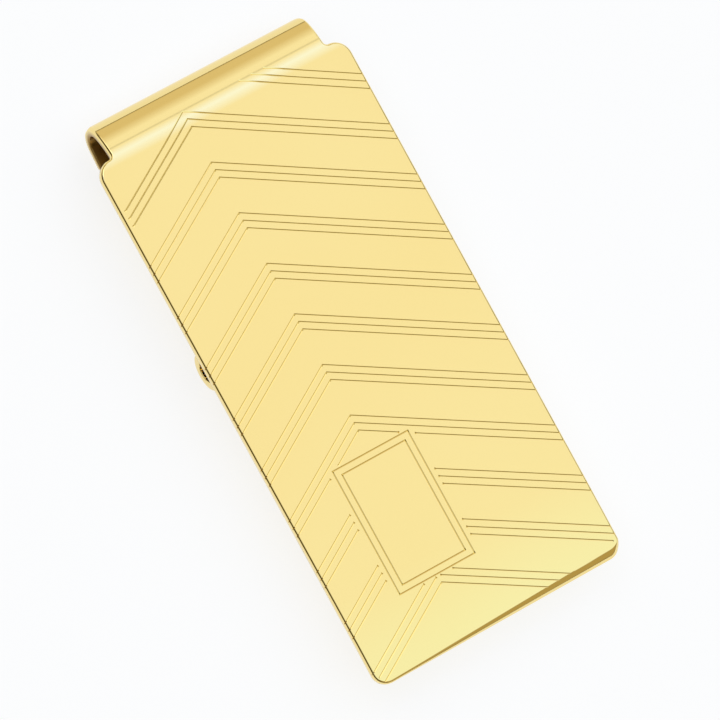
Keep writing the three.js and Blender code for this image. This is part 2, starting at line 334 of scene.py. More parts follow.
def slab(name, outline, thickness, top_round, bottom_round, flatness=0.0):
    """A closed flat slab in X and Y, centred on Z, with rounded or softly chamfered edges.

    The top round may be a function of the outline's point.
    """
    half = thickness / 2
    tops = [top_round(point) if callable(top_round) else top_round for point, normal in outline]
    profile = edge_profile(flatness)
    rings = [(-1, inset, depth) for inset, depth in reversed(profile)]
    rings += [(1, inset, depth) for inset, depth in profile]
    mesh_builder = bmesh.new()
    loops = []
    for side, inset, depth in rings:
        ring = []
        for (point, normal), top in zip(outline, tops):
            size = top if side > 0 else bottom_round
            sunk = min(size, thickness * DEEPEST_EDGE) * depth
            place = point - normal * inset * size
            ring.append(mesh_builder.verts.new((place.x, place.y, side * (half - sunk))))
        loops.append(ring)
    for lower, upper in zip(loops, loops[1:]):
        for index in range(len(outline)):
            following = (index + 1) % len(outline)
            corners = (lower[index], lower[following], upper[following], upper[index])
            mesh_builder.faces.new(corners)
    mesh_builder.faces.new(loops[-1])
    mesh_builder.faces.new(reversed(loops[0]))
    mesh = bpy.data.meshes.new(name)
    mesh_builder.to_mesh(mesh)
    mesh_builder.free()
    return mesh


# ---------------------------------------------------------------- bending

class SheetPath:
    """The middle layer of a bent sheet from its side: Y and Z against the length along it."""

    def __init__(self, y, z, heading):
        self.y = y
        self.z = z
        self.heading = heading
        self.length = 0.0
        self.stations = []
        self.mark()

    def mark(self):
        self.stations.append((self.length, self.y, self.z, self.heading))

    def straight(self, distance):
        self.y += distance * math.cos(self.heading)
        self.z += distance * math.sin(self.heading)
        self.length += distance
        self.mark()

    def bend(self, radius, turn):
        """A positive turn is anticlockwise."""
        steps = max(math.ceil(abs(turn) / BEND_STEP), math.ceil(radius * abs(turn) / LONG_STEP))
        side = math.copysign(radius, turn)
        centre_y = self.y - side * math.sin(self.heading)
        centre_z = self.z + side * math.cos(self.heading)
        for _ in range(steps):
            self.heading += turn / steps
            self.y = centre_y + side * math.sin(self.heading)
            self.z = centre_z - side * math.cos(self.heading)
            self.length += radius * abs(turn) / steps
            self.mark()

    def glide(self, to_y, to_z):
        """A smooth S towards -Y that starts and ends parallel to the plate."""
        from_y, from_z = self.y, self.z
        for step in range(1, GLIDE_STEPS + 1):
            t = step / GLIDE_STEPS
            y = from_y + (to_y - from_y) * t
            z = from_z + (to_z - from_z) * t * t * (3 - 2 * t)
            self.length += math.hypot(y - self.y, z - self.z)
            self.heading = math.atan2((to_z - from_z) * 6 * t * (1 - t), to_y - from_y)
            self.y = y
            self.z = z
            self.mark()

    def at(self, distance):
        """(Y, Z, heading) at a length along the sheet."""
        lengths = [station[0] for station in self.stations]
        index = min(max(bisect.bisect_right(lengths, distance), 1), len(lengths) - 1)
        first, second = self.stations[index - 1], self.stations[index]
        part = (distance - first[0]) / (second[0] - first[0])
        return [a + (b - a) * part for a, b in zip(first[1:], second[1:])]

    def place(self, point):
        """A point of the flat sheet, brought to the bent one, and the heading there."""
        y, z, heading = self.at(point.y)
        bent_y = y - point.z * math.sin(heading)
        bent_z = z + point.z * math.cos(heading)
        return Vector((point.x, bent_y, bent_z)), heading


def turned(normal, heading):
    """A flat sheet's normal, turned with the sheet."""
    y = normal.y * math.cos(heading) - normal.z * math.sin(heading)
    z = normal.y * math.sin(heading) + normal.z * math.cos(heading)
    return Vector((normal.x, y, z))


def cut_at_stations(mesh, path):
    """Cuts a flat mesh across wherever its path turns."""
    mesh_builder = bmesh.new()
    mesh_builder.from_mesh(mesh)
    for station in path.stations[1:-1]:
        everything = [*mesh_builder.verts, *mesh_builder.edges, *mesh_builder.faces]
        bmesh.ops.bisect_plane(
            mesh_builder, geom=everything, dist=CLOSE, plane_co=(0, station[0], 0), plane_no=(0, 1, 0)
        )
    mesh_builder.to_mesh(mesh)
    mesh_builder.free()


def shade(mesh):
    """Normals that turn smoothly round the edges and are flat on the flat faces and the cuts."""
    mesh.shade_smooth()
    mesh.set_sharp_from_angle(angle=SHARP_ANGLE)
    normals = [corner.vector.copy() for corner in mesh.corner_normals]
    cut = mesh.attributes.get("cut")
    for face in mesh.polygons:
        if abs(face.normal.z) > CAP_FLATNESS or (cut and cut.data[face.index].value > 0.5):
            for corner in face.loop_indices:
                normals[corner] = face.normal.copy()
    return normals


def bend(mesh, path, trim=None):
    """Bends a flat mesh along its path. The shading is the flat mesh's, turned with the sheet."""
    cut_at_stations(mesh, path)
    normals = shade(mesh)
    headings = []
    trims = []
    for vertex in mesh.vertices:
        vertex.co, heading = path.place(vertex.co)
        trimmed = None
        if trim:
            vertex.co, trimmed = trim(vertex.co, heading)
        headings.append(heading)
        trims.append(trimmed)
    bent_normals = []
    for loop, normal in zip(mesh.loops, normals):
        flat = trims[loop.vertex_index]
        outer = normal.z > CAP_FLATNESS
        bent_normals.append(flat if flat and outer else turned(normal, headings[loop.vertex_index]))
    mesh.normals_split_custom_set(bent_normals)


def finished(name, mesh, material, axes=None, place=(0, 0, 0)):
    """Brings a mesh from millimetres to metres and makes it an object, at the origin."""
    turn = (axes or Matrix.Identity(3)).to_4x4()
    mesh.transform(Matrix.Scale(MM, 4) @ Matrix.Translation(place) @ turn)
    mesh.materials.clear()
    mesh.materials.append(material)
    mesh.name = name
    piece = bpy.data.objects.new(name, mesh)
    bpy.context.scene.collection.objects.link(piece)
    return piece


def fasten(piece, body, slot, *nodes):
    """The piece rides on a body and stands for frame nodes."""
    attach(piece, body)
    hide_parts(*nodes)


# Slabs drawn in Y and Z and laid across the clip, and strips bent in X and Y.
ACROSS = Matrix(((0, 0, 1), (1, 0, 0), (0, 1, 0)))
ALONG = Matrix(((0, 1, 0), (0, 0, 1), (1, 0, 0)))


# ---------------------------------------------------------------- node helpers

def new_socket(tree, name, direction, kind, default=None):
    """Adds a named input or output to a node group."""
    socket = tree.interface.new_socket(name=name, in_out=direction, socket_type=kind)
    if default is not None:
        socket.default_value = default
    return socket


def add_node(tree, kind, values=None, **settings):
    """Adds a node with its settings and the values of its named inputs."""
    node = tree.nodes.new(kind)
    for name, value in settings.items():
        setattr(node, name, value)
    for name, value in (values or {}).items():
        node.inputs[name].default_value = value
    return node


# ---------------------------------------------------------------- materials

def polish_marks_group():
    """Fine marks of polishing, which run one way, over a slow unevenness of the sheet."""
    tree = bpy.data.node_groups.get("Polish Marks")
    if tree:
        return tree
    tree = bpy.data.node_groups.new("Polish Marks", "ShaderNodeTree")
    new_socket(tree, "Mark Scale", "INPUT", "NodeSocketFloat", 900.0)
    new_socket(tree, "Mark Stretch", "INPUT", "NodeSocketFloat", 0.05)
    new_socket(tree, "Wave Scale", "INPUT", "NodeSocketFloat", 120.0)
    new_socket(tree, "Marks", "OUTPUT", "NodeSocketFloat")
    new_socket(tree, "Waves", "OUTPUT", "NodeSocketFloat")
    inputs = add_node(tree, "NodeGroupInput")
    outputs = add_node(tree, "NodeGroupOutput")
    place = add_node(tree, "ShaderNodeTexCoord")
    stretch = add_node(tree, "ShaderNodeCombineXYZ", {"X": 1.0, "Z": 1.0})
    mapping = add_node(tree, "ShaderNodeMapping")
    marks = add_node(tree, "ShaderNodeTexNoise", {"Detail": 4.0, "Roughness": 0.6})
    waves = add_node(tree, "ShaderNodeTexNoise", {"Detail": 1.0, "Roughness": 0.4})
    link = tree.links.new
    link(inputs.outputs["Mark Stretch"], stretch.inputs["Y"])
    link(place.outputs["Object"], mapping.inputs["Vector"])
    link(stretch.outputs["Vector"], mapping.inputs["Scale"])
    link(mapping.outputs["Vector"], marks.inputs["Vector"])
    link(inputs.outputs["Mark Scale"], marks.inputs["Scale"])
    link(place.outputs["Object"], waves.inputs["Vector"])
    link(inputs.outputs["Wave Scale"], waves.inputs["Scale"])
    link(marks.outputs["Fac"], outputs.inputs["Marks"])
    link(waves.outputs["Fac"], outputs.inputs["Waves"])
    return tree


def metal(name, light, dark, roughness, marks, mark_depth, wave_depth):
    """A polished metal whose colour, gloss and surface change slowly over the piece."""
    material = bpy.data.materials.new(name)
    material.use_nodes = True
    tree = material.node_tree
    shader = tree.nodes["Principled BSDF"]
    shader.inputs["Metallic"].default_value = 1.0
    group = add_node(tree, "ShaderNodeGroup", node_tree=polish_marks_group())
    for socket, value in marks.items():
        group.inputs[socket].default_value = value
    tint = add_node(tree, "ShaderNodeMix", data_type="RGBA")
    tint.inputs["A"].default_value = (*dark, 1)
    tint.inputs["B"].default_value = (*light, 1)
    gloss = add_node(
        tree,
        "ShaderNodeMapRange",
        {"From Min": 0.3, "From Max": 0.7, "To Min": roughness * 0.75, "To Max": roughness * 1.3},
    )
    wave_bump = add_node(tree, "ShaderNodeBump", {"Strength": 1.0, "Distance": wave_depth})
    mark_bump = add_node(tree, "ShaderNodeBump", {"Strength": 1.0, "Distance": mark_depth})
    link = tree.links.new
    link(group.outputs["Waves"], tint.inputs["Factor"])
    link(tint.outputs["Result"], shader.inputs["Base Color"])
    link(group.outputs["Marks"], gloss.inputs["Value"])
    link(gloss.outputs["Result"], shader.inputs["Roughness"])
    link(group.outputs["Waves"], wave_bump.inputs["Height"])
    link(group.outputs["Marks"], mark_bump.inputs["Height"])
    link(wave_bump.outputs["Normal"], mark_bump.inputs["Normal"])
    link(mark_bump.outputs["Normal"], shader.inputs["Normal"])
    return material


def gold_plate():
    """Polished gold plating, rougher inside the channel and painted dark brown there as the channel's
    shade.
    """
    if "polished_gold" in bpy.data.materials:
        return bpy.data.materials["polished_gold"]
    finish = bpy.context.scene.clip_finish
    marks = {"Mark Scale": 2600.0, "Mark Stretch": 0.06, "Wave Scale": 60.0}
    material = metal(
        "polished_gold", finish.pale_gold, finish.gold, finish.gold_roughness, marks,
        mark_depth=6e-8, wave_depth=1e-6,
    )
    tree = material.node_tree
    shader = tree.nodes["Principled BSDF"]
    inside = add_node(tree, "ShaderNodeAttribute", attribute_name="inside")
    # Inside the channel the plating is rougher, and its colour is painted dark brown as painted shade.
    dull_and_shaded = {
        "Base Color": ("RGBA", (*finish.inside_gold, 1)),
        "Roughness": ("FLOAT", finish.inside_roughness),
    }
    for name, (kind, value) in dull_and_shaded.items():
        mix = add_node(tree, "ShaderNodeMix", data_type=kind)
        tree.links.new(shader.inputs[name].links[0].from_socket, mix.inputs["A"])
        mix.inputs["B"].default_value = value
        tree.links.new(inside.outputs["Fac"], mix.inputs["Factor"])
        tree.links.new(mix.outputs["Result"], shader.inputs[name])
    return material


def cheek_brass():
    """Sawn brass, darkened as painted shade of the channel's ends."""
    finish = bpy.context.scene.clip_finish
    dark = [part * 0.8 for part in finish.brass]
    marks = {"Mark Scale": 5000.0, "Mark Stretch": 0.1, "Wave Scale": 500.0}
    return metal(
        "cheek_brass", finish.brass, dark, finish.brass_roughness, marks,
        mark_depth=1.5e-6, wave_depth=1e-6,
    )


def pin_steel():
    """Drawn steel rod, with its marks along X."""
    finish = bpy.context.scene.clip_finish
    dark = [part * 0.85 for part in finish.steel]
    marks = {"Mark Scale": 6000.0, "Mark Stretch": 1.0, "Wave Scale": 300.0}
    return metal(
        "pin_steel", finish.steel, dark, finish.steel_roughness, marks,
        mark_depth=6e-7, wave_depth=4e-7,
    )


def spring_steel():
    """Rolled spring strip."""
    finish = bpy.context.scene.clip_finish
    dark = [part * 0.7 for part in finish.steel]
    marks = {"Mark Scale": 8000.0, "Mark Stretch": 0.4, "Wave Scale": 400.0}
    return metal(
        "spring_steel", finish.steel, dark, finish.steel_roughness, marks,
        mark_depth=8e-7, wave_depth=5e-7,
    )


# ---------------------------------------------------------------- engraving

def engraver_tree():
    """Cuts V grooves, which swell at their dot ends, along the lines of a stroke mesh."""
    tree = bpy.data.node_groups.new("Engraver", "GeometryNodeTree")
    new_socket(tree, "Geometry", "OUTPUT", "NodeSocketGeometry")
    new_socket(tree, "Geometry", "INPUT", "NodeSocketGeometry")
    new_socket(tree, "Strokes", "INPUT", "NodeSocketObject")
    new_socket(tree, "Cut Width", "INPUT", "NodeSocketFloat", 0.12)
    new_socket(tree, "Cut Depth", "INPUT", "NodeSocketFloat", 0.06)
    new_socket(tree, "Material", "INPUT", "NodeSocketMaterial")
    inputs = add_node(tree, "NodeGroupInput")
    outputs = add_node(tree, "NodeGroupOutput")
    strokes = add_node(tree, "GeometryNodeObjectInfo")
    lines = add_node(tree, "GeometryNodeMeshToCurve")
    upright = add_node(tree, "GeometryNodeSetCurveNormal", mode="Z_UP")
    diamond = add_node(tree, "GeometryNodeCurvePrimitiveCircle", {"Resolution": 4, "Radius": 0.5})
    scale = add_node(tree, "ShaderNodeCombineXYZ", {"Z": 1.0})
    double = add_node(tree, "ShaderNodeMath", {1: 2.0}, operation="MULTIPLY")
    profile = add_node(tree, "GeometryNodeTransform")
    swell = add_node(tree, "GeometryNodeInputNamedAttribute", {"Name": "swell"}, data_type="FLOAT")
    cutters = add_node(tree, "GeometryNodeCurveToMesh", {"Fill Caps": True})
    walls = add_node(
        tree, "GeometryNodeStoreNamedAttribute", {"Name": "cut", "Value": 1.0},
        data_type="FLOAT", domain="FACE",
    )
    carve = add_node(tree, "GeometryNodeMeshBoolean", operation="DIFFERENCE", solver="EXACT")
    realize = add_node(tree, "GeometryNodeRealizeInstances")
    paint = add_node(tree, "GeometryNodeSetMaterial")
    link = tree.links.new
    link(inputs.outputs["Strokes"], strokes.inputs["Object"])
    link(strokes.outputs["Geometry"], lines.inputs["Mesh"])
    link(lines.outputs["Curve"], upright.inputs["Curve"])
    link(upright.outputs["Curve"], cutters.inputs["Curve"])
    link(inputs.outputs["Cut Width"], scale.inputs["X"])
    link(inputs.outputs["Cut Depth"], double.inputs[0])
    link(double.outputs["Value"], scale.inputs["Y"])
    link(diamond.outputs["Curve"], profile.inputs["Geometry"])
    link(scale.outputs["Vector"], profile.inputs["Scale"])
    link(profile.outputs["Geometry"], cutters.inputs["Profile Curve"])
    link(swell.outputs["Attribute"], cutters.inputs["Scale"])
    link(inputs.outputs["Geometry"], carve.inputs["Mesh 1"])
    link(cutters.outputs["Mesh"], walls.inputs["Geometry"])
    link(walls.outputs["Geometry"], carve.inputs["Mesh 2"])
    link(carve.outputs["Mesh"], realize.inputs["Geometry"])
    link(realize.outputs["Geometry"], paint.inputs["Geometry"])
    link(inputs.outputs["Material"], paint.inputs["Material"])
    link(paint.outputs["Geometry"], outputs.inputs["Geometry"])
    return tree


def outside_box(start, end, low, high):
    """The parts of a straight line that lie outside a box."""
    enter, leave = 0.0, 1.0
    for axis in range(2):
        step = end[axis] - start[axis]
        near, far = sorted(((low[axis] - start[axis]) / step, (high[axis] - start[axis]) / step))
        enter = max(enter, near)
        leave = min(leave, far)
    if enter >= leave:
        return [(start, end)]
    parts = []
    if enter > 0:
        parts.append((start, start.lerp(end, enter)))
    if leave < 1:
        parts.append((start.lerp(end, leave), end))
    return parts


def chevron_arms(cut, plate_width):
    """Each straight arm as (start nearest the apex, end), before the cartouche interrupts it."""
    fall = math.tan(cut.slope)
    overrun = cut.cut_width * OVERRUN
    arms = []
    for group in range(-1, cut.groups):
        for line in range(cut.lines):
            apex_y = cut.first_apex - cut.group_pitch * group - cut.line_pitch * line
            for side in (-1, 1):
                start = Vector((cut.apex_x, apex_y))
                reach = plate_width - cut.apex_x + overrun if side > 0 else cut.apex_x + overrun
                if side < 0 and group == 0:
                    reach = cut.apex_x - cut.short_end
                end = start + Vector((side * reach, -fall * reach))
                if start.y > cut.top_limit and end.y < cut.top_limit:
                    start = start.lerp(end, (start.y - cut.top_limit) / (start.y - end.y))
                if end.y < -overrun:
                    end = start.lerp(end, (start.y + overrun) / (start.y - end.y))
                if cut.top_limit > end.y and start.y > -overrun and (side > 0 or group >= 0):
                    arms.append((start, end))
    return arms


def stroke_points(start, end, start_swell, end_swell, dot, run_out=0.0, sink=0.0):
    """A stroke's points, each with its width and its depth below the face.

    A stroke that leaves the plate sinks along its run-out, to follow the chamfered edge.
    """
    along = (end - start).normalized()
    return [
        (start, start_swell, 0.0),
        (start + along * dot, 1.0, 0.0),
        (end - along * (run_out or dot), 1.0, 0.0),
        (end, end_swell, sink),
    ]


def engraving_strokes(cut, plate_width, front_round):
    """Every stroke of the engraving, as points with their widths and depths."""
    half_panel = Vector((cut.panel_width, cut.panel_height)) / 2
    centre = Vector((cut.panel_x, cut.panel_y))
    margin = Vector((cut.side_gap, cut.end_gap))
    low = centre - half_panel - margin
    high = centre + half_panel + margin
    mitre = 1 / math.cos(cut.slope)
    strokes = []
    for start, end in chevron_arms(cut, plate_width):
        for first, second in outside_box(start, end, low, high):
            whole_start = (first - start).length < CLOSE
            off_plate = second.x < 0 or second.x > plate_width or second.y < 0
            first_swell = cut.dot_swell
            if whole_start and abs(start.x - cut.apex_x) < CLOSE:
                first_swell = mitre
            elif whole_start and abs(start.y - cut.top_limit) < CLOSE:
                first_swell = cut.fade_swell
            second_swell = 1.0 if off_plate else cut.dot_swell
            sink = 0.0
            if off_plate and second.y > 0:
                sink = front_round(second) + cut.cut_width * OVERRUN
            run_out = sink / math.cos(cut.slope)
            strokes.append(stroke_points(
                first, second, first_swell, second_swell, cut.dot_length, run_out, sink
            ))
    for inset in (0, cut.panel_inset):
        reach = half_panel - Vector((inset, inset))
        for turn in range(4):
            corners = [Vector((-reach.x, -reach.y)), Vector((reach.x, -reach.y)), reach.copy(),
                       Vector((-reach.x, reach.y))]
            first = centre + corners[turn]
            second = centre + corners[(turn + 1) % 4]
            strokes.append(stroke_points(first, second, math.sqrt(2), math.sqrt(2), cut.dot_length))
    return strokes


def joined_strokes(strokes):
    """Strokes that share an end become one line, so that its corner is mitred."""
    places = []
    swells = []
    edges = []
    seen = {}
    for stroke in strokes:
        previous = None
        for point, swell, sink in stroke:
            key = (round(point.x, 4), round(point.y, 4))
            if key not in seen:
                seen[key] = len(places)
                places.append((point.x, point.y, -sink))
                swells.append(swell)
            index = seen[key]
            if previous is not None:
                edges.append((previous, index))
            previous = index
    return places, swells, edges


def stroke_object(cut, plate_width, height, front_round):
    """The strokes as a mesh of lines on the plate's front face, centred across X."""
    places, swells, edges = joined_strokes(engraving_strokes(cut, plate_width, front_round))
    mesh = bpy.data.meshes.new("strokes")
    mesh.from_pydata(places, edges, [])
    mesh.transform(Matrix.Translation((-plate_width / 2, 0, height)))
    mesh.attributes.new("swell", "FLOAT", "POINT").data.foreach_set("value", swells)
    strokes = bpy.data.objects.new("strokes", mesh)
    bpy.context.scene.collection.objects.link(strokes)
    return strokes


def set_input(modifier, name, value):
    """Sets a node group's input by the identifier of its socket."""
    for item in modifier.node_group.interface.items_tree:
        if item.item_type == "SOCKET" and item.in_out == "INPUT" and item.name == name:
            modifier[item.identifier] = value


def evaluated_mesh(blank):
    """What an object's modifiers make of it, as a plain mesh."""
    depsgraph = bpy.context.evaluated_depsgraph_get()
    return bpy.data.meshes.new_from_object(blank.evaluated_get(depsgraph), depsgraph=depsgraph)


def engraved(mesh, cut, plate_width, height, front_round, material):
    """The flat blank with the engraving cut into its front face."""
    blank = bpy.data.objects.new("blank", mesh)
    bpy.context.scene.collection.objects.link(blank)
    strokes = stroke_object(cut, plate_width, height, front_round)
    modifier = blank.modifiers.new("Engraver", "NODES")
    modifier.node_group = engraver_tree()
    set_input(modifier, "Strokes", strokes)
    set_input(modifier, "Cut Width", cut.cut_width)
    set_input(modifier, "Cut Depth", cut.cut_depth)
    set_input(modifier, "Material", material)
    result = evaluated_mesh(blank)
    bpy.data.objects.remove(blank)
    bpy.data.objects.remove(strokes)
    return result


def bored(mesh, x, y, radius):
    """A flat slab with a round hole through it."""
    target = bpy.data.objects.new("target", mesh)
    rod = slab("drill", circle_outline(x, y, radius), DRILL_LENGTH, DRILL_ROUND, DRILL_ROUND)
    drill = bpy.data.objects.new("drill", rod)
    for item in (target, drill):
        bpy.context.scene.collection.objects.link(item)
    modifier = target.modifiers.new("Bore", "BOOLEAN")
    modifier.object = drill
    modifier.operation = "DIFFERENCE"
    modifier.solver = "EXACT"
    result = evaluated_mesh(target)
    bpy.data.objects.remove(target)
    bpy.data.objects.remove(drill)
    return result


# ---------------------------------------------------------------- pieces

def plate_path(plate):
    """The plate's sheet from its bottom edge, over the crown, to the back wall's edge."""
    low, high = box_in_millimetres("face_plate")
    half_sheet = plate.sheet / 2
    lean_start = (high.y - half_sheet - plate.lean_radius * math.sin(plate.lean)
                  - plate.crown_radius * (1 - math.sin(plate.lean)))
    roll_radius = plate.roll_length / plate.roll
    roll_drop = roll_radius * (1 - math.cos(plate.roll))
    foot_y = low.y + (half_sheet - plate.edge_round) * math.sin(plate.roll)
    path = SheetPath(foot_y, high.z - half_sheet - roll_drop, plate.roll)
    path.bend(roll_radius, -plate.roll)
    path.straight(lean_start - path.y)
    path.bend(plate.lean_radius, -plate.lean)
    path.bend(plate.crown_radius, -(math.pi - plate.lean - plate.flare))
    path.straight((path.y - (high.y - plate.wall_drop)) / math.cos(plate.flare))
    return path


def pin_axis():
    """The pin's Y, Z and radius."""
    low, high = box_in_millimetres("hinge_pin")
    return (low.y + high.y) / 2, (low.z + high.z) / 2, (high.z - low.z) / 2


def plate_back(plate):
    """Height of the plate's back face."""
    return box_in_millimetres("face_plate")[1].z - plate.sheet


def flap_path(flap, plate, hinge):
    """The flap's sheet from its knuckle, along the bowed arm, to the end of the lip."""
    pin_y, pin_z, pin_radius = pin_axis()
    back = plate_back(plate)
    knuckle = pin_radius + hinge.pin_clearance + flap.sheet / 2
    lip = flap.lip_radius - flap.sheet / 2
    lip_y = pin_y - flap.reach
    path = SheetPath(
        pin_y + knuckle * math.sin(flap.knuckle_wrap),
        pin_z + knuckle * math.cos(flap.knuckle_wrap),
        math.pi - flap.knuckle_wrap,
    )
    path.bend(knuckle, flap.knuckle_wrap)
    path.straight(flap.shoulder)
    path.glide((path.y + lip_y) / 2, back - flap.bow_gap - flap.sheet / 2)
    path.glide(lip_y, back - flap.lip_gap - flap.lip_radius + lip)
    path.bend(lip, flap.lip_wrap)
    return path


def mark_inside(mesh, start):
    """Marks the back of the flat sheet, from a height upwards, as the inside of the channel, which gets
    painted shade.
    """
    inside = mesh.attributes.new("inside", "FLOAT", "POINT")
    for vertex, mark in zip(mesh.vertices, inside.data):
        mark.value = 1.0 if vertex.co.z < 0 and vertex.co.y > start else 0.0


def make_face_plate(scene):
    """The engraved face plate with its channel."""
    plate = in_millimetres(scene.clip_plate)
    cut = in_millimetres(scene.clip_engraving)
    low, high = box_in_millimetres("face_plate")
    half_width = high.x
    half_channel = plate.channel_length / 2
    path = plate_path(plate)
    shoulder = high.y - plate.shoulder_drop - low.y
    outline = rounded_outline([
        (-half_width, 0, plate.bottom_corner),
        (half_width, 0, plate.bottom_corner),
        (half_width, shoulder, plate.shoulder_corner),
        (half_channel, shoulder, plate.notch_fillet),
        (half_channel, path.length, plate.wall_corner),
        (-half_channel, path.length, plate.wall_corner),
        (-half_channel, shoulder, plate.notch_fillet),
        (-half_width, shoulder, plate.shoulder_corner),
    ])
    gold = gold_plate()

    def front_round(point):
        """The front edge's chamfer, which widens along the bottom from left to right."""
        across = (point.x + half_width) / (2 * half_width)
        bottom = max(1 - point.y / plate.bottom_corner, 0)
        return plate.edge_round + (plate.bottom_round - plate.edge_round) * across * bottom

    blank = slab(
        "face_plate", outline, plate.sheet, front_round, plate.back_round, plate.edge_flatness
    )
    mesh = engraved(blank, cut, 2 * half_width, plate.sheet / 2, front_round, gold)
    corner = plate.channel_corner

    def narrow_at_crown(point, heading):
        """Draws the channel's ends in where they turn over the crown."""
        past = min(max(point.y - (high.y - corner), 0.0), corner)
        narrowing = corner - math.sqrt(corner ** 2 - past ** 2)
        near_end = min(max((abs(point.x) - half_channel) / END_TAPER + 1, 0.0), 1.0)
        x = point.x - math.copysign(narrowing * near_end ** 2, point.x)
        return Vector((x, point.y, point.z)), None

    # The channel's inside gets painted shade.
    mark_inside(mesh, shoulder - plate.channel_corner)
    bend(mesh, path, narrow_at_crown)
    piece = finished("engraved_face_plate", mesh, gold)
    fasten(piece, "plate", "gold_plate", "face_plate")


def make_rear_flap(scene):
    """The sprung flap with its knuckle and rolled lip."""
    plate = in_millimetres(scene.clip_plate)
    hinge = in_millimetres(scene.clip_hinge)
    flap = in_millimetres(scene.clip_flap)
    pin_y, pin_z, pin_radius = pin_axis()
    path = flap_path(flap, plate, hinge)
    half_width = box_in_millimetres("rear_flap")[1].x
    half_knuckle = flap.knuckle_length / 2
    knuckle_radius = pin_radius + hinge.pin_clearance + flap.sheet
    cam_flat = knuckle_radius - flap.cam_relief
    shoulder = (knuckle_radius - flap.sheet / 2) * flap.knuckle_wrap + flap.shoulder
    outline = rounded_outline([
        (-half_knuckle, 0, flap.end_corner),
        (half_knuckle, 0, flap.end_corner),
        (half_knuckle, shoulder, flap.tongue_fillet),
        (half_width, shoulder, flap.corner),
        (half_width, path.length, flap.end_corner),
        (-half_width, path.length, flap.end_corner),
        (-half_width, shoulder, flap.corner),
        (-half_knuckle, shoulder, flap.tongue_fillet),
    ])
    mesh = slab("rear_flap", outline, flap.sheet, flap.inner_round, flap.edge_round)

    def cut_cam_flats(point, heading):
        """Files the knuckle flat towards the spring, with the flap shut and with it open."""
        if point.y > pin_y + cam_flat:
            return Vector((point.x, pin_y + cam_flat, point.z)), Vector((0, 1, 0))
        if point.z < pin_z - cam_flat and point.y > pin_y - knuckle_radius:
            return Vector((point.x, point.y, pin_z - cam_flat)), Vector((0, 0, -1))
        return point, None

    bend(mesh, path, cut_cam_flats)
    piece = finished("sprung_rear_flap", mesh, gold_plate())
    fasten(piece, "flap", "gold_plate", "rear_flap")


def make_hinge(scene):
    """The pin and the two cheeks that hold it."""
    plate = in_millimetres(scene.clip_plate)
    hinge = in_millimetres(scene.clip_hinge)
    low, high = box_in_millimetres("hinge_pin")
    pin_y, pin_z, pin_radius = pin_axis()
    rod = slab("hinge_pin", circle_outline(pin_y, pin_z, pin_radius), high.x - low.x,
               hinge.pin_chamfer, hinge.pin_chamfer)
    shade_round(rod)
    pin = finished("steel_hinge_pin", rod, pin_steel(), ACROSS)
    fasten(pin, "plate", "spring_steel", "hinge_pin")

    inner = -plate.sheet / 2 - hinge.wall_gap
    path = plate_path(plate)
    stations = [station for station in path.stations[1:-1] if station[1] >= pin_y]
    wall = [path.place(Vector((0, station[0], inner)))[0].yz for station in stations]
    foot = plate_back(plate) - pin_z - hinge.wall_gap
    for step in range(CORNER_STEPS * 2 + 1):
        turn = -math.pi / 2 - math.pi * step / (CORNER_STEPS * 2)
        wall.append(Vector((pin_y + foot * math.cos(turn), pin_z + foot * math.sin(turn))))
    section = curve_outline(list(reversed(wall)))
    # The cheeks' brass carries painted shade.
    brass = cheek_brass()
    for side in ("left", "right"):
        node = f"{side}_pivot_cheek"
        cheek_low, cheek_high = box_in_millimetres(node)
        flat = slab(node, section, cheek_high.x - cheek_low.x, hinge.cheek_round, hinge.cheek_round)
        mesh = bored(flat, pin_y, pin_z, pin_radius + hinge.pin_clearance)
        shade_round(mesh)
        middle = ((cheek_low.x + cheek_high.x) / 2, 0, 0)
        cheek = finished(f"brass_{node}", mesh, brass, ACROSS, middle)
        fasten(cheek, "plate", "brass", node)


def shade_round(mesh):
    """Smooths a slab's rounded sides."""
    normals = shade(mesh)
    mesh.normals_split_custom_set(normals)


def make_leaf_spring(scene):
    """A bowed strip between the channel's crown and the knuckle's cam flats."""
    hinge = in_millimetres(scene.clip_hinge)
    low, high = box_in_millimetres("leaf_spring")
    strip = hinge.spring_strip
    half_length = high.x
    rise = high.y - low.y - strip
    radius = (half_length ** 2 + rise ** 2) / (2 * rise) + strip / 2
    spread = math.asin(half_length / (radius + strip / 2))
    centre_y = low.y + strip / 2 + radius
    path = SheetPath(-radius * math.sin(spread), centre_y - radius * math.cos(spread), -spread)
    path.bend(radius, 2 * spread)
    half_width = (high.z - low.z) / 2
    outline = rounded_outline([
        (-half_width, 0, half_width / 2),
        (half_width, 0, half_width / 2),
        (half_width, path.length, half_width / 2),
        (-half_width, path.length, half_width / 2),
    ])
    mesh = slab("leaf_spring", outline, strip, hinge.spring_round, hinge.spring_round)
    bend(mesh, path)
    middle = (0, 0, (low.z + high.z) / 2)
    piece = finished("steel_leaf_spring", mesh, spring_steel(), ALONG, middle)
    fasten(piece, "plate", "spring_steel", "leaf_spring")


# ---------------------------------------------------------------- stage

FAR_CLIP = 10                   # metres


def make_camera(stage):
    """A long lens over the clip's front face."""
    data = bpy.data.cameras.new("camera")
    data.lens = stage.camera_lens
    data.clip_end = FAR_CLIP
    camera = bpy.data.objects.new("camera", data)
    bpy.context.scene.collection.objects.link(camera)
    turn = (
        Matrix.Rotation(stage.camera_roll, 3, "Z")
        @ Matrix.Rotation(stage.camera_nod, 3, "X")
        @ Matrix.Rotation(stage.camera_tilt, 3, "Y")
    )
    aim = Vector((stage.aim_x, stage.aim_y, cad_high.z))
    back = turn.row[2].copy()
    place = Matrix.Translation(aim + back * stage.camera_distance)
    camera.matrix_world = place @ turn.transposed().to_4x4()
    bpy.context.scene.camera = camera


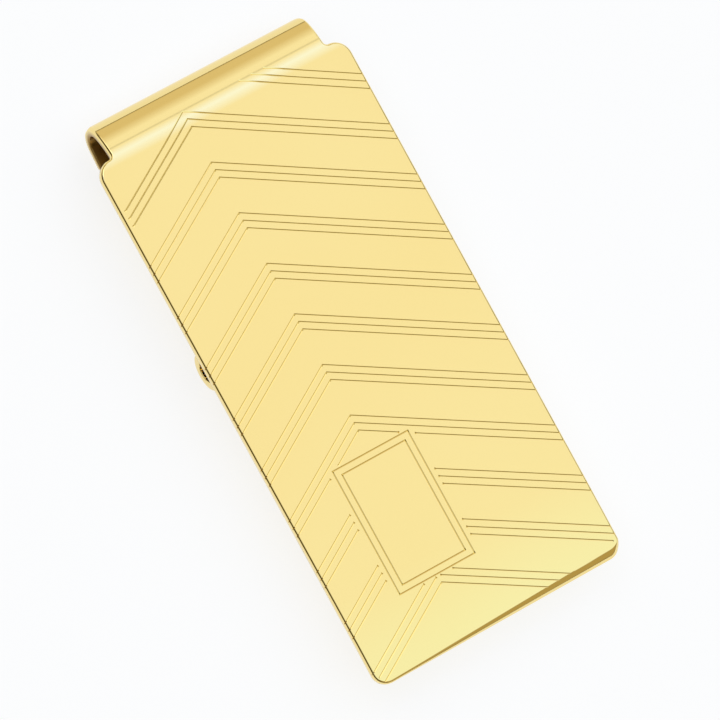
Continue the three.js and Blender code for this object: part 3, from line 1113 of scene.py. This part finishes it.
def make_floor(stage):
    """A white floor that is lit a little from below."""
    mesh_builder = bmesh.new()
    bmesh.ops.create_circle(mesh_builder, cap_ends=True, radius=stage.floor_size / 2, segments=ROD_SIDES)
    mesh = bpy.data.meshes.new("studio_floor")
    mesh_builder.to_mesh(mesh)
    mesh_builder.free()
    material = bpy.data.materials.new("studio_floor")
    material.use_nodes = True
    shader = material.node_tree.nodes["Principled BSDF"]
    shader.inputs["Base Color"].default_value = (*[stage.floor_shade] * 3, 1)
    shader.inputs["Roughness"].default_value = 0.9
    shader.inputs["Specular IOR Level"].default_value = 0.0
    shader.inputs["Emission Color"].default_value = (1, 1, 1, 1)
    shader.inputs["Emission Strength"].default_value = stage.floor_glow
    mesh.materials.append(material)
    floor = bpy.data.objects.new("studio_floor", mesh)
    bpy.context.scene.collection.objects.link(floor)


# The studio's fixtures. A plain white dome would be (1, 1, 1).
FOOT_CARD = (0.5, 0.4, 0.2)     # brown card beyond the clip's foot
COOL_DOME = (1.05, 1.2, 1.3)
PLAIN_DOME = (1.07, 1.08, 1.08)
WIDE_LAMP = (1.1, 1.3, 2.0)     # cool lamp over the hinge end
LAMP_FRAME = (0.75, 0.75, 0.75)
HINGE_CARD = (0.8, 0.7, 0.5)    # warm card beyond the hinge

# Where they are, from beyond the clip's foot (-1) to beyond its hinge (1)
STUDIO = (
    (-1.0, FOOT_CARD),
    (-0.6, FOOT_CARD),
    (-0.5, COOL_DOME),
    (-0.1, COOL_DOME),
    (0.0, PLAIN_DOME),
    (0.1, PLAIN_DOME),
    (0.35, WIDE_LAMP),
    (0.5, PLAIN_DOME),
    (0.525, LAMP_FRAME),
    (0.55, PLAIN_DOME),
    (0.65, PLAIN_DOME),
    (0.8, HINGE_CARD),
    (1.0, HINGE_CARD),
)
BRIGHTEST = 2.0                 # the ramp holds shares of this

# How dark the low gap on the left is, from far left (-1) to far right (1).
LEFT_GAP = ((-1.0, 1.0), (-0.65, 1.0), (-0.4, 0.5), (-0.1, 0.5), (0.1, 0.0))

# The dark gaps: from where they start to where they are deepest, and how deep they are.
LOW_GAP = (0.85, 0.55, 1.0)     # height of the gap on the left
SKYLINE = (0.14, 0.02, 0.75)    # height of the gap all round
RIGHT_GAP = (0.8, 0.92, 0.8)    # how far right
DARK_SIDE = (0.05, 0.038, 0.008, 1)
BACKDROP = (0.98, 0.98, 0.98, 1)


def fade(tree, start, end, depth):
    """A node that rises from 0 to a depth between two values."""
    return add_node(
        tree, "ShaderNodeMapRange", {"From Min": start, "From Max": end, "To Max": depth}
    )


def make_world(stage):
    """A studio that changes along the clip, with dark gaps low down, at the left and the right."""
    world = bpy.data.worlds.new("studio")
    bpy.context.scene.world = world
    world.use_nodes = True
    tree = world.node_tree
    tree.nodes.clear()
    direction = add_node(tree, "ShaderNodeTexCoord")
    parts = add_node(tree, "ShaderNodeSeparateXYZ")
    along = add_node(tree, "ShaderNodeMapRange", {"From Min": -1.0, "From Max": 1.0})
    studio = add_node(tree, "ShaderNodeValToRGB")
    set_stops(studio.color_ramp, STUDIO, BRIGHTEST)
    across = add_node(tree, "ShaderNodeMapRange", {"From Min": -1.0, "From Max": 1.0})
    left = add_node(tree, "ShaderNodeValToRGB")
    set_stops(left.color_ramp, LEFT_GAP, 1.0)
    low = fade(tree, *LOW_GAP)
    low_left = add_node(tree, "ShaderNodeMath", operation="MULTIPLY")
    skyline = fade(tree, *SKYLINE)
    right = fade(tree, *RIGHT_GAP)
    gaps = add_node(tree, "ShaderNodeMath", operation="MAXIMUM")
    all_gaps = add_node(tree, "ShaderNodeMath", operation="MAXIMUM")
    side = add_node(tree, "ShaderNodeMix", data_type="RGBA")
    side.inputs["B"].default_value = DARK_SIDE
    light = add_node(tree, "ShaderNodeBackground")
    light.inputs["Strength"].default_value = stage.studio_light * BRIGHTEST
    shown = add_node(tree, "ShaderNodeBackground", {"Color": BACKDROP, "Strength": 1.0})
    rays = add_node(tree, "ShaderNodeLightPath")
    choose = add_node(tree, "ShaderNodeMixShader")
    output = add_node(tree, "ShaderNodeOutputWorld")
    link = tree.links.new
    link(direction.outputs["Generated"], parts.inputs["Vector"])
    link(parts.outputs["Y"], along.inputs["Value"])
    link(parts.outputs["X"], across.inputs["Value"])
    link(across.outputs["Result"], left.inputs["Fac"])
    link(parts.outputs["Z"], low.inputs["Value"])
    link(along.outputs["Result"], studio.inputs["Fac"])
    link(left.outputs["Color"], low_left.inputs[0])
    link(low.outputs["Result"], low_left.inputs[1])
    link(parts.outputs["Z"], skyline.inputs["Value"])
    link(parts.outputs["X"], right.inputs["Value"])
    link(low_left.outputs["Value"], gaps.inputs[0])
    link(skyline.outputs["Result"], gaps.inputs[1])
    link(gaps.outputs["Value"], all_gaps.inputs[0])
    link(right.outputs["Result"], all_gaps.inputs[1])
    link(all_gaps.outputs["Value"], side.inputs["Factor"])
    link(studio.outputs["Color"], side.inputs["A"])
    link(side.outputs["Result"], light.inputs["Color"])
    link(rays.outputs["Is Camera Ray"], choose.inputs["Fac"])
    link(light.outputs["Background"], choose.inputs[1])
    link(shown.outputs["Background"], choose.inputs[2])
    link(choose.outputs["Shader"], output.inputs["Surface"])


def set_stops(ramp, stops, brightest):
    """Sets a new colour ramp's stops, from places between -1 and 1 with a grey or a colour each."""
    ramp.elements.remove(ramp.elements[-1])
    for index, (place, value) in enumerate(stops):
        position = (place + 1) / 2
        element = ramp.elements[0] if index == 0 else ramp.elements.new(position)
        element.position = position
        shades = value if isinstance(value, tuple) else (value, value, value)
        element.color = (*[shade / brightest for shade in shades], 1)


KEY_STRENGTH = 0.3
KEY_SPREAD = math.radians(40)
KEY_FROM = Vector((-0.35, 0.75, 0.9))


def make_lights():
    """One soft lamp beyond the hinge end, which throws a faint shadow towards the viewer."""
    data = bpy.data.lights.new("key", "SUN")
    data.energy = KEY_STRENGTH
    data.angle = KEY_SPREAD
    key = bpy.data.objects.new("key", data)
    bpy.context.scene.collection.objects.link(key)
    key.rotation_mode = "QUATERNION"
    key.rotation_quaternion = KEY_FROM.to_track_quat("Z", "Y")


# ---------------------------------------------------------------- operators

class MONEYCLIP_OT_face_plate(bpy.types.Operator):
    """Makes the engraved face plate and its channel"""

    bl_idname = "moneyclip.face_plate"
    bl_label = "Face Plate"

    def execute(self, context):
        make_face_plate(context.scene)
        return {"FINISHED"}


class MONEYCLIP_OT_rear_flap(bpy.types.Operator):
    """Makes the sprung rear flap"""

    bl_idname = "moneyclip.rear_flap"
    bl_label = "Rear Flap"

    def execute(self, context):
        make_rear_flap(context.scene)
        return {"FINISHED"}


class MONEYCLIP_OT_hinge(bpy.types.Operator):
    """Makes the hinge pin and its two cheeks"""

    bl_idname = "moneyclip.hinge"
    bl_label = "Pin and Cheeks"

    def execute(self, context):
        make_hinge(context.scene)
        return {"FINISHED"}


class MONEYCLIP_OT_leaf_spring(bpy.types.Operator):
    """Makes the leaf spring"""

    bl_idname = "moneyclip.leaf_spring"
    bl_label = "Leaf Spring"

    def execute(self, context):
        make_leaf_spring(context.scene)
        return {"FINISHED"}


class MONEYCLIP_OT_stage(bpy.types.Operator):
    """Sets the camera, the floor and the light"""

    bl_idname = "moneyclip.stage"
    bl_label = "Stage"

    def execute(self, context):
        stage = context.scene.clip_stage
        make_camera(stage)
        make_floor(stage)
        make_world(stage)
        make_lights()
        context.scene.view_settings.view_transform = "Standard"
        return {"FINISHED"}


OPERATORS = (
    MONEYCLIP_OT_stage,
    MONEYCLIP_OT_face_plate,
    MONEYCLIP_OT_rear_flap,
    MONEYCLIP_OT_hinge,
    MONEYCLIP_OT_leaf_spring,
)


class MONEYCLIP_PT_sidebar(bpy.types.Panel):
    """Lists the clip's pieces and their settings"""

    bl_idname = "MONEYCLIP_PT_sidebar"
    bl_label = "Money Clip"
    bl_space_type = "VIEW_3D"
    bl_region_type = "UI"
    bl_category = "Money Clip"

    def draw(self, context):
        for operator in OPERATORS:
            self.layout.operator(operator.bl_idname)
        for name, group in SETTINGS.items():
            box = self.layout.box()
            box.label(text=group.__doc__)
            for prop in group.__annotations__:
                box.prop(getattr(context.scene, name), prop)


def register():
    for group in SETTINGS.values():
        bpy.utils.register_class(group)
    for name, group in SETTINGS.items():
        setattr(bpy.types.Scene, name, PointerProperty(type=group))
    for operator in OPERATORS:
        bpy.utils.register_class(operator)
    bpy.utils.register_class(MONEYCLIP_PT_sidebar)


def unregister():
    bpy.utils.unregister_class(MONEYCLIP_PT_sidebar)
    for operator in reversed(OPERATORS):
        bpy.utils.unregister_class(operator)
    for name, group in SETTINGS.items():
        delattr(bpy.types.Scene, name)
        bpy.utils.unregister_class(group)


def main():
    register()
    bpy.ops.moneyclip.stage()
    bpy.ops.moneyclip.face_plate()
    bpy.ops.moneyclip.rear_flap()
    bpy.ops.moneyclip.hinge()
    bpy.ops.moneyclip.leaf_spring()


if __name__ == "__main__":
    main()
